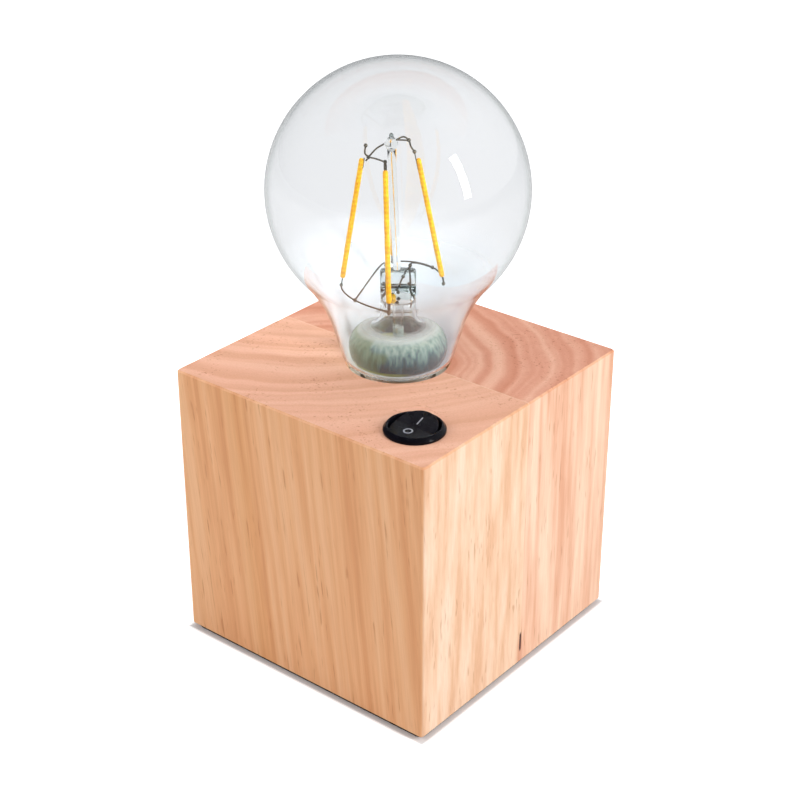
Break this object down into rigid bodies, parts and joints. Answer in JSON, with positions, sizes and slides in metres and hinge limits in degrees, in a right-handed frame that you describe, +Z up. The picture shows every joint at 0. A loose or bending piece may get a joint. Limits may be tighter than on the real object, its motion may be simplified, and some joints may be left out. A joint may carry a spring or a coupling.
{
  "type": "table lamp",
  "caption": "Table lamp: a glued wooden cube with a bare clear globe bulb screwed into its top and a small round rocker switch in one corner.",
  "frame": {"origin": "middle of the underside, on the surface that the lamp stands on", "axes": "+Z up along the bulb's axis; -Y is the front face; +X is the right face, so the switch is in the +X -Y corner; the cable inlet is in the back face, +Y"},
  "size_m": [0.115, 0.115, 0.2252],
  "materials": {
    "block_wood": "sanded and oiled, fine open grain",
    "plate_board": "plain fibreboard",
    "pad_foam": "matte closed-cell foam",
    "steel_screws": "zinc plated",
    "grommet_rubber": "matte",
    "porcelain": "glazed, unglazed foot",
    "brass": "bright pressed",
    "switch_black": "glossy moulded",
    "switch_plunger_white": "moulded",
    "spring_steel": "bright wire",
    "lead_sheath": "smooth sheath",
    "sleeve_sheath": "smooth sheath",
    "globe_glass": "clear blown",
    "stem_glass": "clear pressed, grey green where thick",
    "cap_metal": "bright rolled thread",
    "cap_insulation": "black glassy",
    "contact_solder": "dull solder",
    "filament_coating": "coated, bare metal ends",
    "support_wire": "drawn wire",
    "board_green": "solder mask",
    "capacitor_sleeve": "shrunk sleeve",
    "bridge_black": "moulded"
  },
  "bodies": {
    "base": {"front_stave": "block_wood", "rear_stave": "block_wood", "base_pad": "pad_foam", "cover_plate": "plate_board", "cover_screws": "steel_screws", "cable_grommet": "grommet_rubber", "holder_body": "porcelain", "holder_fixing_screws": "steel_screws", "holder_screw_shell": "brass", "holder_centre_contact": "brass", "holder_live_terminal": "brass", "holder_neutral_terminal": "brass", "terminal_screws": "steel_screws", "switch_housing": "switch_black", "switch_centre_terminal": "brass", "switch_line_terminal": "brass", "lead_sleeve": "sleeve_sheath", "switched_lead": "lead_sheath"},
    "rocker": {"switch_rocker": "switch_black", "switch_plunger": "switch_plunger_white", "switch_spring": "spring_steel"},
    "contact_lever": {"switch_contact_lever": "brass"},
    "bulb_contact": {"cap_contact": "contact_solder"},
    "bulb": {"bulb_glass": "globe_glass", "glass_stem": "stem_glass", "cap_shell": "cap_metal", "cap_insulator": "cap_insulation", "filament_left": "filament_coating", "filament_front": "filament_coating", "filament_right": "filament_coating", "filament_back": "filament_coating", "upper_wire_left": "support_wire", "upper_wire_right": "support_wire", "lower_wire_left": "support_wire", "lower_wire_right": "support_wire", "driver_board": "board_green", "driver_capacitor": "capacitor_sleeve", "driver_bridge": "bridge_black", "cap_leads": "support_wire"}
  },
  "joints": [
    {"name": "rocker_tilt", "type": "hinge", "parent": "base", "child": "rocker", "pos_m": [0.0385, -0.0385, 0.1117], "axis": [-1, 0, 0], "range_deg": [0, 20]},
    {"name": "contact_tilt", "type": "hinge", "parent": "base", "child": "contact_lever", "pos_m": [0.0385, -0.0385, 0.1012], "axis": [1, 0, 0], "range_deg": [0, 16]},
    {"name": "bulb_rise", "type": "slide", "parent": "base", "child": "bulb_contact", "axis": [0, 0, 1], "range_m": [0, 0.0164]},
    {"name": "bulb_turn", "type": "hinge", "parent": "bulb_contact", "child": "bulb", "pos_m": [0, 0, 0.1125], "axis": [0, 0, 1], "range_deg": [0, 1620]}
  ],
  "couplings": [
    {"joint": "contact_tilt", "follows": "rocker_tilt", "ratio": 0.8},
    {"joint": "bulb_rise", "follows": "bulb_turn", "m_per_rad": 0.00057757}
  ]
}
